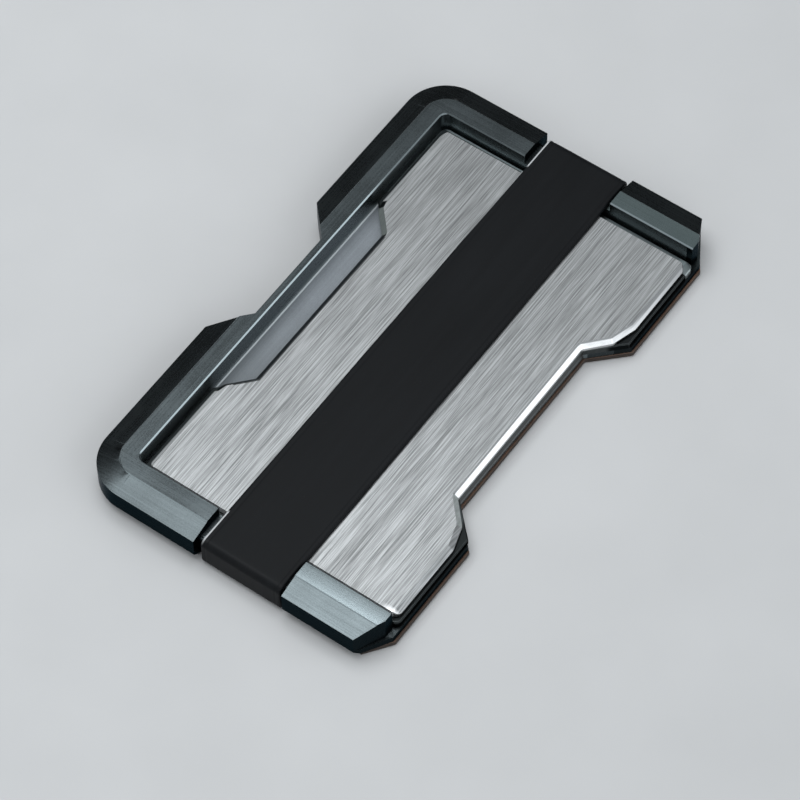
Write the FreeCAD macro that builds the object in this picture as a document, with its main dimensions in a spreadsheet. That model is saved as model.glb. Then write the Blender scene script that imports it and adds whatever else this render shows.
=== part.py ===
import FreeCAD, Part
import Sketcher
import math
import os

# Minimalist wallet: an open-sided aluminium card tray, a steel liner on its floor,
# a loose steel cover plate over the cards, a wide elastic loop that clamps the
# plate down, and two leather leaves screwed to the underside.
# Frame: +Z up, +Y along the length, +X towards the open side. Units are mm.
# The sketches have X = 0 near the band's centre line; every body is then placed so
# that the origin is the centre of the bounding box's bottom face, where it rests.

os.makedirs("parts", exist_ok=True)
doc = FreeCAD.newDocument("wallet")
V = FreeCAD.Vector

# ---------------------------------------------------------------- sheet
DIMS = [
    ("origin_x", 3.1, "shift that puts the origin at the middle of the width"),
    # heights
    ("leather_thk", 1.3, "leather leaf thickness"),
    ("chassis_z0", 1.3, "underside of the tray"),
    ("floor_z", 2.6, "top of the tray floor"),
    ("liner_thk", 1.3, "liner plate thickness"),
    ("cover_z0", 4.1, "underside of the cover plate at rest"),
    ("cover_thk", 1.4, "cover plate thickness"),
    ("rim_z", 7.6, "top of the rim"),
    ("slope_low_z", 6.35, "outer edge of the rim's sloped shoulder"),
    ("slope_high_z", 7.42, "inner edge of the sloped shoulder"),
    ("bridge_z", 5.45, "top of the low bridge under the band"),
    # outer contour
    ("out_left", 32.7, "left face, from X = 0"),
    ("out_end", 50.45, "end faces, half length"),
    ("out_r", 8.0, "outer corner radius"),
    ("slope_w", 3.75, "width of the sloped shoulder"),
    ("plateau_in", 3.72, "inset of the raised rim's foot"),
    ("plateau_r", 4.4, "corner radius of the raised rim's foot"),
    ("edge_break", 0.22, "fine edge break round the top of the tray"),
    ("step_c", 0.17, "small bevel round the raised rim"),
    ("under_c", 1.1, "bevel round the underside"),
    ("block_right", 25.2, "right face of the two end blocks"),
    ("cut_y", 45.3, "start of the cut corner along Y"),
    ("cut_x", 22.6, "end of the cut corner along X"),
    ("floor_right", 26.2, "right edge of the tray floor"),
    ("floor_cut_y", 44.6, "start of the floor's cut corner"),
    ("blank_right", 30.0, "right edge of the blank before trimming"),
    # tray
    ("tray_left", 25.7, "inner face of the long rim"),
    ("tray_end", 43.4, "inner faces of the short rims"),
    ("tray_r", 1.4, "inner corner radius"),
    # thumb notches
    ("ln_x", 27.0, "bottom of the outer thumb notch in the long rim"),
    ("ln_y1", 9.4, "half length at the bottom"),
    ("ln_y2", 17.8, "half length well outside the rim"),
    ("ln_x2", 34.6, "where ln_y2 is reached"),
    ("rn_x", 20.4, "bottom of the notch in the open edge"),
    ("rn_y1", 18.0, "half length at the bottom"),
    ("rn_y2", 23.8, "half length at the floor's edge"),
    # band gate
    ("gate_l", 9.0, "left side of the gate in both short rims"),
    ("gate_r", 8.55, "right side of the gate"),
    ("gate_end", 48.9, "end face of the tray inside the gate"),
    ("gate_fr", 0.9, "upper rounding the band turns over"),
    ("gate_fr2", 0.5, "lower rounding the band turns over"),
    # liner
    ("li_left", 25.45, "liner, left edge"),
    ("li_right", 25.95, "liner, right edge"),
    ("li_end", 43.1, "liner, half length"),
    ("li_nl", 20.3, "liner, left notch bottom"),
    ("li_nr", 20.4, "liner, right notch bottom"),
    ("li_ny1", 17.9, "liner, notch half length at the bottom"),
    ("li_ny2r", 23.4, "liner, right notch half length at the edge"),
    ("li_ny2l", 23.4, "liner, left notch half length at the edge"),
    ("li_c", 0.2, "liner edge break"),
    # cover plate
    ("cp_wl", 24.45, "cover plate, left edge"),
    ("cp_wr", 25.4, "cover plate, right edge"),
    ("cp_l", 41.825, "cover plate half length"),
    ("cp_off", 0.425, "the loose plate lies this much nearer the -Y end"),
    ("cp_c", 0.88, "cover plate bevel"),
    ("cp_n", 20.35, "notch bottom, half width"),
    ("cp_ny1", 17.9, "notch half length at the bottom"),
    ("cp_sx", 24.0, "start of the shallow lead-in, X"),
    ("cp_sy", 21.9, "start of the shallow lead-in, Y"),
    ("cp_ny2l", 23.75, "notch half length at the left edge"),
    ("cp_ny2r", 26.4, "notch half length at the right edge"),
    ("cp_r", 1.3, "corner radius"),
    ("cp_nr", 0.7, "rounding of the notch's inner corners"),
    ("cp_nr2", 1.4, "rounding of the notch's outer corners"),
    # band
    ("bd_w", 15.9, "band width"),
    ("bd_off", 0.07, "band centre, towards -X"),
    ("bd_thk", 1.0, "band thickness"),
    ("bd_top", 6.6, "top of the band"),
    ("bd_bot", 0.2, "underside of the band"),
    ("bd_end", 50.0, "outer end of the band, half length"),
    ("bd_rt", 2.0, "outer radius at the top"),
    ("bd_rb", 1.6, "outer radius at the bottom"),
    ("bd_c", 0.3, "bevel on the band's outer edges"),
    # leather leaves
    ("lf_left", 31.3, "left leaf, left edge"),
    ("lf_end", 49.05, "leaves, half length"),
    ("lf_r", 6.6, "left leaf corner radius"),
    ("lf_in", 9.3, "left leaf, edge next to the band"),
    ("lf_ln_x", 26.7, "left leaf, notch bottom"),
    ("lf_ln_y1", 9.6, "left leaf, notch half length at the bottom"),
    ("lf_ln_y2", 17.8, "left leaf, notch half length well outside"),
    ("rf_in", 8.9, "right leaf, edge next to the band"),
    ("rf_right", 26.5, "right leaf, right edge"),
    ("rf_cut_y", 44.4, "right leaf, cut corner start"),
    ("rf_cut_x", 23.1, "right leaf, cut corner end"),
    ("rf_n", 20.7, "right leaf, notch bottom"),
    ("rf_ny1", 18.1, "right leaf, notch half length at the bottom"),
    ("rf_ny2", 23.9, "right leaf, notch half length at the edge"),
    ("lf_fr", 0.4, "rounded lower rim of the leaves"),
    # screws
    ("sc_d", 1.96, "screw shank diameter"),
    ("sc_hd", 4.4, "screw head diameter"),
    ("sc_hz0", 0.1, "outer face of the heads"),
    ("sc_hh", 0.55, "head height"),
    ("sc_len", 4.3, "shank length above the head"),
    ("sc_hole", 2.0, "tapped hole diameter"),
    ("sc_hole_len", 4.0, "tapped hole depth"),
    ("sc_clr", 2.3, "clearance hole in the leather"),
    ("sc_cb", 5.0, "counterbore in the leather"),
    ("sc_cbh", 0.65, "counterbore depth"),
    ("sc_hc", 0.2, "head edge break"),
    ("sc_hex", 0.75, "drive recess radius"),
    ("sc_hexh", 0.32, "drive recess depth"),
    ("sc_ax", 26.6, "corner screws, X"),
    ("sc_ay", 45.7, "corner screws, Y"),
    ("sc_bx", 28.7, "long rim screws, X"),
    ("sc_by", 23.5, "long rim screws, Y"),
    ("sc_cx", 12.9, "screws left of the band, X"),
    ("sc_cy", 46.4, "short rim screws, Y"),
    ("sc_dx", 12.4, "screws right of the band, X"),
    ("sc_ex", 20.6, "outer right screws, X"),
]
sheet = doc.addObject("Spreadsheet::Sheet", "dims")
sheet.Label = "dims"
for i, (name, value, note) in enumerate(DIMS):
    row = str(i + 2)
    sheet.set("A" + row, name)
    sheet.set("B" + row, str(value))
    sheet.set("C" + row, note)
    sheet.setAlias("B" + row, name)
doc.recompute()
D = {name: value for name, value, note in DIMS}


def ev(expr):
    """Value of a sum of sheet names and numbers, such as '-out_left+2'."""
    total, sign, word = 0.0, 1.0, ""
    for ch in expr + "+":
        if ch in "+-" :
            if word:
                total += sign * (D[word] if word in D else float(word))
                word = ""
                sign = 1.0
            if ch == "-":
                sign = -sign
        elif ch != " ":
            word += ch
    return total


def ex(expr):
    """The same sum as a document expression."""
    out, word = "", ""
    for ch in expr + " ":
        if ch in "+- ":
            if word:
                out += ("dims." + word) if word in D else word
                word = ""
            if ch in "+-":
                out += " " + ch + " "
        else:
            word += ch
    out = out.strip()
    if out.startswith("- "):
        out = "-" + out[2:]
    return out


# ---------------------------------------------------------------- helpers
def new_body(name):
    b = doc.addObject("PartDesign::Body", name)
    b.Label = name
    return b


def plane(body, role):
    for f in body.Origin.OriginFeatures:
        if f.Role == role:
            return f


def sketch(body, name, z=None, role="XY_Plane"):
    s = body.newObject("Sketcher::SketchObject", name)
    s.AttachmentSupport = [(plane(body, role), "")]
    s.MapMode = "FlatFace"
    if z is not None:
        s.AttachmentOffset = FreeCAD.Placement(V(0, 0, ev(z)), FreeCAD.Rotation())
        s.setExpression("AttachmentOffset.Base.z", ex(z))
    doc.recompute()
    return s


def bind(s, idx, name, expr):
    s.renameConstraint(idx, name)
    s.setExpression("Constraints." + name, ex(expr))


def at(s, geo, pos, xe, ye, tag):
    if xe is not None:
        i = s.addConstraint(Sketcher.Constraint("DistanceX", -1, 1, geo, pos, ev(xe)))
        bind(s, i, tag + "_x", xe)
    if ye is not None:
        i = s.addConstraint(Sketcher.Constraint("DistanceY", -1, 1, geo, pos, ev(ye)))
        bind(s, i, tag + "_y", ye)


def polygon(s, pts, tag="v"):
    """Closed polygon, each corner placed by two named dimensions."""
    n = len(pts)
    xy = [V(ev(a), ev(b), 0) for a, b in pts]
    first = None
    for i in range(n):
        g = s.addGeometry(Part.LineSegment(xy[i], xy[(i + 1) % n]), False)
        if first is None:
            first = g
    for i in range(n):
        s.addConstraint(Sketcher.Constraint("Coincident", first + i, 2, first + (i + 1) % n, 1))
    for i, (a, b) in enumerate(pts):
        at(s, first + i, 1, a, b, tag + str(i))


def rounded(s, x0, x1, y0, y1, radii, tag="r"):
    """Axis-aligned rectangle; radii are for corners x0y0, x1y0, x1y1, x0y1 (None = sharp)."""
    X0, X1, Y0, Y1 = ev(x0), ev(x1), ev(y0), ev(y1)
    cor = [(X0, Y0, 1, 1), (X1, Y0, -1, 1), (X1, Y1, -1, -1), (X0, Y1, 1, -1)]
    ends = []
    for (cx, cy, dx, dy), re_ in zip(cor, radii):
        r = ev(re_) if re_ else 0.0
        ends.append((r, V(cx + dx * r, cy, 0), V(cx, cy + dy * r, 0), V(cx + dx * r, cy + dy * r, 0)))
    side = []
    # order: bottom, right, top, left
    side.append(s.addGeometry(Part.LineSegment(ends[0][1], ends[1][1]), False))
    side.append(s.addGeometry(Part.LineSegment(ends[1][2], ends[2][2]), False))
    side.append(s.addGeometry(Part.LineSegment(ends[2][1], ends[3][1]), False))
    side.append(s.addGeometry(Part.LineSegment(ends[3][2], ends[0][2]), False))
    a0 = [math.pi, 1.5 * math.pi, 0.0, 0.5 * math.pi]
    for k in range(4):
        prev, nxt = side[(k - 1) % 4], side[k]
        r = ends[k][0]
        if r > 0:
            g = s.addGeometry(Part.ArcOfCircle(Part.Circle(ends[k][3], V(0, 0, 1), r), a0[k], a0[k] + 0.5 * math.pi), False)
            s.addConstraint(Sketcher.Constraint("Tangent", prev, 2, g, 1))
            s.addConstraint(Sketcher.Constraint("Tangent", g, 2, nxt, 1))
            i = s.addConstraint(Sketcher.Constraint("Radius", g, r))
            bind(s, i, tag + "_rad" + str(k), radii[k])
        else:
            s.addConstraint(Sketcher.Constraint("Coincident", prev, 2, nxt, 1))
    for g, kind in zip(side, ("Horizontal", "Vertical", "Horizontal", "Vertical")):
        s.addConstraint(Sketcher.Constraint(kind, g))
    at(s, side[0], 1, None, y0, tag + "b")
    at(s, side[1], 1, x1, None, tag + "c")
    at(s, side[2], 1, None, y1, tag + "d")
    at(s, side[3], 1, x0, None, tag + "e")


def pad(body, s, length, name, reverse=False, mid=False):
    f = body.newObject("PartDesign::Pad", name)
    f.Profile = s
    f.Length = ev(length)
    f.setExpression("Length", ex(length))
    f.Reversed = reverse
    if mid:
        f.Midplane = True
    s.Visibility = False
    doc.recompute()
    return f


def pocket(body, s, length, name, reverse=False):
    before = body.Shape.Volume
    f = body.newObject("PartDesign::Pocket", name)
    f.Profile = s
    f.Length = ev(length)
    f.setExpression("Length", ex(length))
    f.Reversed = reverse
    s.Visibility = False
    doc.recompute()
    after = body.Shape.Volume
    if not after < before - 1e-3:
        raise RuntimeError(name + " removed nothing")
    return f


def edges_of(feature, test):
    out = []
    for i, e in enumerate(feature.Shape.Edges):
        try:
            m = e.valueAt((e.FirstParameter + e.LastParameter) / 2.0)
        except Exception:
            continue
        if test(e, m):
            out.append("Edge%d" % (i + 1))
    if not out:
        raise RuntimeError("no edge found on " + feature.Name)
    return out


def chamfer(body, base, names, size, name, size2=None, flip=False):
    f = body.newObject("PartDesign::Chamfer", name)
    f.Base = (base, names)
    if size2 is not None:
        f.ChamferType = 1
        f.Size2 = ev(size2)
        f.setExpression("Size2", ex(size2))
        f.FlipDirection = flip
    f.Size = ev(size)
    f.setExpression("Size", ex(size))
    doc.recompute()
    return f


def fillet(body, base, names, radius, name):
    f = body.newObject("PartDesign::Fillet", name)
    f.Base = (base, names)
    f.Radius = ev(radius)
    f.setExpression("Radius", ex(radius))
    doc.recompute()
    return f


def vertical(e):
    if e.Curve.TypeId != "Part::GeomLine":
        return False
    d = e.Vertexes[-1].Point - e.Vertexes[0].Point
    return abs(d.x) < 1e-6 and abs(d.y) < 1e-6 and abs(d.z) > 1e-6


def close(a, b, tol=0.02):
    return abs(a - b) < tol


SCREWS = [("-sc_ax", "sc_ay"), ("-sc_ax", "-sc_ay"), ("-sc_bx", "sc_by"), ("-sc_bx", "-sc_by"),
          ("-sc_cx", "sc_cy"), ("-sc_cx", "-sc_cy"), ("sc_dx", "sc_cy"), ("sc_dx", "-sc_cy"),
          ("sc_ex", "sc_cy"), ("sc_ex", "-sc_cy")]


def circles(s, pts, dia, tag="h"):
    for k, (a, b) in enumerate(pts):
        g = s.addGeometry(Part.Circle(V(ev(a), ev(b), 0), V(0, 0, 1), ev(dia) / 2.0), False)
        i = s.addConstraint(Sketcher.Constraint("Diameter", g, ev(dia)))
        bind(s, i, tag + str(k) + "_d", dia)
        at(s, g, 3, a, b, tag + str(k))


# ---------------------------------------------------------------- chassis
ch = new_body("chassis")
s = sketch(ch, "chassis_outline", "chassis_z0")
rounded(s, "-out_left", "blank_right", "-out_end", "out_end", ("out_r", None, None, "out_r"))
f = pad(ch, s, "slope_high_z-chassis_z0", "chassis_blank")

# sloped shoulder along the two ends and the closed side
H1 = ev("slope_high_z")
names = edges_of(f, lambda e, m: close(m.z, H1) and m.x < D["blank_right"] - 0.1)
f = chamfer(ch, f, names, "slope_w", "shoulder", "slope_high_z-slope_low_z", False)
top = [fc for fc in f.Shape.Faces if close(fc.CenterOfMass.z, H1, 1e-4) and abs(fc.normalAt(0, 0).z) > 0.99]
if not close(top[0].BoundBox.YMax, ev("out_end-slope_w"), 0.01):
    f.FlipDirection = True
    doc.recompute()

# bevel round the underside
Z0 = ev("chassis_z0")
names = edges_of(f, lambda e, m: close(m.z, Z0) and m.x < D["blank_right"] - 0.1)
f = chamfer(ch, f, names, "under_c", "under_bevel")

# raised rim above the shoulder
s = sketch(ch, "rim_foot", "slope_low_z+0.1")
rounded(s, "-out_left+plateau_in", "blank_right", "-out_end+plateau_in", "out_end-plateau_in",
        ("plateau_r", None, None, "plateau_r"))
f = pad(ch, s, "rim_z-slope_low_z-0.1", "rim_raised")
RZ = ev("rim_z")
names = edges_of(f, lambda e, m: close(m.z, RZ) and m.x < D["blank_right"] - 0.1)
f = chamfer(ch, f, names, "step_c", "rim_step")

# card tray, open to the right
s = sketch(ch, "tray", "rim_z")
rounded(s, "-tray_left", "blank_right+5", "-tray_end", "tray_end", ("tray_r", None, None, "tray_r"))
f = pocket(ch, s, "rim_z-floor_z", "tray_pocket")

# right faces of the end blocks with their cut corners, above the floor
s = sketch(ch, "block_trim", "rim_z")
polygon(s, [("block_right", "-cut_y"), ("cut_x", "-out_end"), ("cut_x", "-out_end-3"), ("blank_right+5", "-out_end-3"),
            ("blank_right+5", "out_end+3"), ("cut_x", "out_end+3"), ("cut_x", "out_end"), ("block_right", "cut_y")])
f = pocket(ch, s, "rim_z-floor_z", "block_cut")

# outline of the floor with the thumb notch in the open edge, all through
s = sketch(ch, "floor_trim", "rim_z")
polygon(s, [("cut_x", "-out_end-3"), ("blank_right+5", "-out_end-3"), ("blank_right+5", "out_end+3"),
            ("cut_x", "out_end+3"), ("cut_x", "out_end"), ("floor_right", "floor_cut_y"),
            ("floor_right", "rn_y2"), ("rn_x", "rn_y1"), ("rn_x", "-rn_y1"), ("floor_right", "-rn_y2"),
            ("floor_right", "-floor_cut_y"), ("cut_x", "-out_end")])
f = pocket(ch, s, "rim_z-chassis_z0+1", "floor_cut")

# thumb notch in the outside of the long rim
s = sketch(ch, "rim_notch", "rim_z")
polygon(s, [("-ln_x", "-ln_y1"), ("-ln_x", "ln_y1"), ("-ln_x2", "ln_y2"), ("-ln_x2", "-ln_y2")])
f = pocket(ch, s, "rim_z-chassis_z0+1", "rim_notch_cut")

# gates for the band through both short rims, with a low bridge left in each
s = sketch(ch, "gates_upper", "rim_z")
polygon(s, [("-gate_l", "tray_end-1"), ("gate_r", "tray_end-1"), ("gate_r", "out_end+3"), ("-gate_l", "out_end+3")], "a")
polygon(s, [("-gate_l", "-tray_end+1"), ("-gate_l", "-out_end-3"), ("gate_r", "-out_end-3"), ("gate_r", "-tray_end+1")], "b")
f = pocket(ch, s, "rim_z-bridge_z", "gates_upper_cut")
s = sketch(ch, "gates_end", "rim_z")
polygon(s, [("-gate_l", "gate_end"), ("gate_r", "gate_end"), ("gate_r", "out_end+3"), ("-gate_l", "out_end+3")], "a")
polygon(s, [("-gate_l", "-gate_end"), ("-gate_l", "-out_end-3"), ("gate_r", "-out_end-3"), ("gate_r", "-gate_end")], "b")
f = pocket(ch, s, "rim_z-chassis_z0+1", "gates_end_cut")

BZ = ev("bridge_z")
GE = ev("gate_end")
names = edges_of(f, lambda e, m: close(m.z, BZ) and close(abs(m.y), GE) and abs(m.x) < 5)
f = fillet(ch, f, names, "gate_fr", "gate_round_upper")
names = edges_of(f, lambda e, m: close(m.z, Z0) and close(abs(m.y), GE) and abs(m.x) < 5)
f = fillet(ch, f, names, "gate_fr2", "gate_round_lower")

# tapped holes for the backing screws, from below
s = sketch(ch, "screw_points", "chassis_z0")
circles(s, SCREWS, "sc_hole")
f = pocket(ch, s, "sc_hole_len", "screw_holes", reverse=True)
ch.Tip = f

# fine edge break along the top of the inner walls
IN_Y, IN_X = ev("tray_end"), ev("tray_left")
names = edges_of(f, lambda e, m: close(m.z, RZ) and e.Curve.TypeId == "Part::GeomLine" and
                 ((close(abs(m.y), IN_Y) and abs(e.Vertexes[0].Y - e.Vertexes[-1].Y) < 1e-6) or close(m.x, -IN_X)))
names += edges_of(f, lambda e, m: close(m.z, RZ) and e.Curve.TypeId == "Part::GeomCircle" and m.x < -IN_X + 1.0 and abs(m.y) > IN_Y - 1.0 and abs(m.y) < IN_Y and m.x > -IN_X)
f = chamfer(ch, f, names, "edge_break", "inner_edge_break")
ch.Tip = f

# ---------------------------------------------------------------- liner plate
li = new_body("liner_plate")
s = sketch(li, "liner_outline", "floor_z")
polygon(s, [("-li_left", "-li_end"), ("li_right", "-li_end"), ("li_right", "-li_ny2r"), ("li_nr", "-li_ny1"),
            ("li_nr", "li_ny1"), ("li_right", "li_ny2r"), ("li_right", "li_end"), ("-li_left", "li_end"),
            ("-li_left", "li_ny2l"), ("-li_nl", "li_ny1"), ("-li_nl", "-li_ny1"), ("-li_left", "-li_ny2l")])
f = pad(li, s, "liner_thk", "liner_blank")
names = edges_of(f, lambda e, m: vertical(e) and close(abs(m.y), ev("li_end")))
f = fillet(li, f, names, "cp_r", "liner_corners")
LZ = ev("floor_z+liner_thk")
names = edges_of(f, lambda e, m: close(m.z, LZ))
f = chamfer(li, f, names, "li_c", "liner_edge")
li.Tip = f

# ---------------------------------------------------------------- cover plate
cp = new_body("cover_plate")
s = sketch(cp, "cover_outline", "cover_z0")
half = [("cp_wr", "-cp_l"), ("cp_wr", "-cp_ny2r"), ("cp_sx", "-cp_sy"), ("cp_n", "-cp_ny1"),
        ("cp_n", "cp_ny1"), ("cp_sx", "cp_sy"), ("cp_wr", "cp_ny2r"), ("cp_wr", "cp_l"),
        ("-cp_wl", "cp_l"), ("-cp_wl", "cp_ny2l"), ("-cp_sx", "cp_sy"), ("-cp_n", "cp_ny1"),
        ("-cp_n", "-cp_ny1"), ("-cp_sx", "-cp_sy"), ("-cp_wl", "-cp_ny2l"), ("-cp_wl", "-cp_l")]
polygon(s, [(a, b + "-cp_off") for a, b in half])
f = pad(cp, s, "cover_thk", "cover_blank")
CL, CO = ev("cp_l"), ev("cp_off")
names = edges_of(f, lambda e, m: vertical(e) and close(abs(m.y + CO), D["cp_ny1"]))
f = fillet(cp, f, names, "cp_nr", "cover_notch_inner")
names = edges_of(f, lambda e, m: vertical(e) and (close(abs(m.y + CO), D["cp_sy"]) or close(abs(m.y + CO), D["cp_ny2l"])
                                                  or close(abs(m.y + CO), D["cp_ny2r"])))
f = fillet(cp, f, names, "cp_nr2", "cover_notch_outer")
CZ = ev("cover_z0+cover_thk")
names = edges_of(f, lambda e, m: close(m.z, CZ) and not close(abs(m.y + CO), CL))
f = chamfer(cp, f, names, "cp_c", "cover_bevel")
# corners rounded after the bevel, so that the ends stay square
s = sketch(cp, "cover_corner_ring", "cover_z0+cover_thk")
rounded(s, "-cp_wl", "cp_wr", "-cp_l-cp_off", "cp_l-cp_off", ("cp_r", "cp_r", "cp_r", "cp_r"), "k")
polygon(s, [("-cp_wl-3", "-cp_l-cp_off-3"), ("cp_wr+3", "-cp_l-cp_off-3"), ("cp_wr+3", "cp_l-cp_off+3"), ("-cp_wl-3", "cp_l-cp_off+3")], "o")
f = pocket(cp, s, "cover_thk+1", "cover_corners")
cp.Tip = f

# ---------------------------------------------------------------- elastic band
bd = new_body("elastic_band")
s = sketch(bd, "band_loop", None, "YZ_Plane")
s.AttachmentOffset = FreeCAD.Placement(V(0, 0, -D["bd_off"]), FreeCAD.Rotation())
s.setExpression("AttachmentOffset.Base.z", "-dims.bd_off")
rounded(s, "-bd_end", "bd_end", "bd_bot", "bd_top", ("bd_rb", "bd_rb", "bd_rt", "bd_rt"), "o")
rounded(s, "-bd_end+bd_thk", "bd_end-bd_thk", "bd_bot+bd_thk", "bd_top-bd_thk",
        ("bd_rb-bd_thk", "bd_rb-bd_thk", "bd_rt-bd_thk", "bd_rt-bd_thk"), "i")
f = pad(bd, s, "bd_w", "band_strip", mid=True)
BE, BT, BB = ev("bd_end"), ev("bd_top"), ev("bd_bot")


def on_outer(e, m):
    side = close(abs(m.x + D["bd_off"]), D["bd_w"] / 2.0, 0.01)
    d = e.Vertexes[-1].Point - e.Vertexes[0].Point
    outer = m.z > BT - 0.65 or m.z < BB + 0.5 or abs(m.y) > BE - 0.65
    return side and outer and abs(d.x) < 1e-6


names = edges_of(f, on_outer)
f = chamfer(bd, f, names, "bd_c", "band_edge")
bd.Tip = f

# ---------------------------------------------------------------- leather leaves
LEFT = [p for p in SCREWS if p[0].startswith("-")]
RIGHT = [p for p in SCREWS if not p[0].startswith("-")]


def leaf(name, outline, pts, corner=None, cut=None):
    b = new_body(name)
    s = sketch(b, name + "_outline")
    outline(s)
    f = pad(b, s, "leather_thk", name + "_blank")
    if cut:
        s = sketch(b, name + "_notch", "leather_thk")
        polygon(s, cut, "n")
        f = pocket(b, s, "leather_thk+1", name + "_notch_cut")
    names = edges_of(f, lambda e, m: close(m.z, 0.0))
    f = fillet(b, f, names, "lf_fr", name + "_edge")
    s = sketch(b, name + "_holes")
    circles(s, pts, "sc_clr")
    f = pocket(b, s, "leather_thk+1", name + "_hole_cut", reverse=True)
    s = sketch(b, name + "_sinks")
    circles(s, pts, "sc_cb")
    f = pocket(b, s, "sc_cbh", name + "_sink_cut", reverse=True)
    b.Tip = f
    return b


leaf("backing_left",
     lambda s: rounded(s, "-lf_left", "-lf_in", "-lf_end", "lf_end", ("lf_r", None, None, "lf_r")),
     LEFT, cut=[("-lf_ln_x", "-lf_ln_y1"), ("-lf_ln_x", "lf_ln_y1"), ("-ln_x2", "lf_ln_y2"), ("-ln_x2", "-lf_ln_y2")])
leaf("backing_right",
     lambda s: polygon(s, [("rf_in", "-lf_end"), ("rf_cut_x", "-lf_end"), ("rf_right", "-rf_cut_y"), ("rf_right", "-rf_ny2"),
                           ("rf_n", "-rf_ny1"), ("rf_n", "rf_ny1"), ("rf_right", "rf_ny2"), ("rf_right", "rf_cut_y"),
                           ("rf_cut_x", "lf_end"), ("rf_in", "lf_end")]),
     RIGHT)

# ---------------------------------------------------------------- backing screws
sc = new_body("backing_screws")
if hasattr(sc, "AllowCompound"):
    sc.AllowCompound = True
s = sketch(sc, "heads", "sc_hz0")
circles(s, SCREWS, "sc_hd")
f = pad(sc, s, "sc_hh", "screw_heads")
names = edges_of(f, lambda e, m: e.Curve.TypeId == "Part::GeomCircle" and close(m.z, D["sc_hz0"]))
f = chamfer(sc, f, names, "sc_hc", "head_edges")
s = sketch(sc, "shanks", "sc_hz0+sc_hh-0.05")
circles(s, SCREWS, "sc_d")
f = pad(sc, s, "sc_len+0.05", "screw_shanks")
s = sketch(sc, "drives", "sc_hz0")
for k, (a, b) in enumerate(SCREWS):
    r = D["sc_hex"]
    cx, cy = ev(a), ev(b)
    ring = [V(cx + r * math.cos(math.pi * j / 3.0), cy + r * math.sin(math.pi * j / 3.0), 0) for j in range(6)]
    first = None
    for j in range(6):
        g = s.addGeometry(Part.LineSegment(ring[j], ring[(j + 1) % 6]), False)
        first = g if first is None else first
    for j in range(6):
        s.addConstraint(Sketcher.Constraint("Coincident", first + j, 2, first + (j + 1) % 6, 1))
    at(s, first, 1, a + "+sc_hex", b, "d%d" % k)
f = pocket(sc, s, "sc_hexh", "screw_drives", reverse=True)
sc.Tip = f

# ---------------------------------------------------------------- checks and export
doc.recompute()
bodies = [o for o in doc.Objects if o.TypeId == "PartDesign::Body"]
for o in doc.Objects:
    for st in o.State:
        if st in ("Invalid", "Error"):
            raise RuntimeError(o.Name + " is " + st)
WANT = {"backing_screws": 10}
for b in bodies:
    b.Placement = FreeCAD.Placement(V(D["origin_x"], 0, 0), FreeCAD.Rotation())
    b.setExpression("Placement.Base.x", "dims.origin_x")
doc.recompute()
for b in bodies:
    shp = b.Shape
    if shp.isNull() or not shp.isValid():
        raise RuntimeError(b.Label + " has no valid shape")
    n = len(shp.Solids)
    if n != WANT.get(b.Label, 1):
        raise RuntimeError("%s has %d solids" % (b.Label, n))
    bb = shp.BoundBox
    print("%-16s solids %2d  vol %9.2f  x %.2f..%.2f  y %.2f..%.2f  z %.2f..%.2f" % (
        b.Label, n, shp.Volume, bb.XMin, bb.XMax, bb.YMin, bb.YMax, bb.ZMin, bb.ZMax))
for b in bodies:
    b.Shape.exportStep("parts/" + b.Label + ".step")
doc.recompute()
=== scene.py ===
import math
import random

import bmesh
import bpy
import numpy as np
from mathutils import Matrix, Vector


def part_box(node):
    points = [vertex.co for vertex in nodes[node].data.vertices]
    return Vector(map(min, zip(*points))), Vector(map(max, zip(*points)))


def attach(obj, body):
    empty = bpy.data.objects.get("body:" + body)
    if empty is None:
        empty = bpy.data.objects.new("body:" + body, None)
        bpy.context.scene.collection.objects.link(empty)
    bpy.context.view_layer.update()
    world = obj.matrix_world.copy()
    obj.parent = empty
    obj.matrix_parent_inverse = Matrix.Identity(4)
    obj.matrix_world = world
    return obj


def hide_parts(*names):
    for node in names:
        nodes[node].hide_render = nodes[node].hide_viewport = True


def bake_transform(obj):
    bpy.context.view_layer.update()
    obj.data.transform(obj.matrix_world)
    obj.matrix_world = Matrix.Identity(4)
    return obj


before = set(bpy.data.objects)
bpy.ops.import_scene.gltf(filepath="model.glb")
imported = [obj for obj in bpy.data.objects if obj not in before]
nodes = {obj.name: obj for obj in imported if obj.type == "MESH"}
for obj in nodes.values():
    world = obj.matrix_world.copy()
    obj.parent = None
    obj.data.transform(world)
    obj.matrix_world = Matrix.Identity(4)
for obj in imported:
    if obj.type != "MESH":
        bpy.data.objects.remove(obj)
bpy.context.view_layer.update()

random.seed(7)
rng = np.random.default_rng(7)
MM = 0.001
scene = bpy.context.scene


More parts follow.
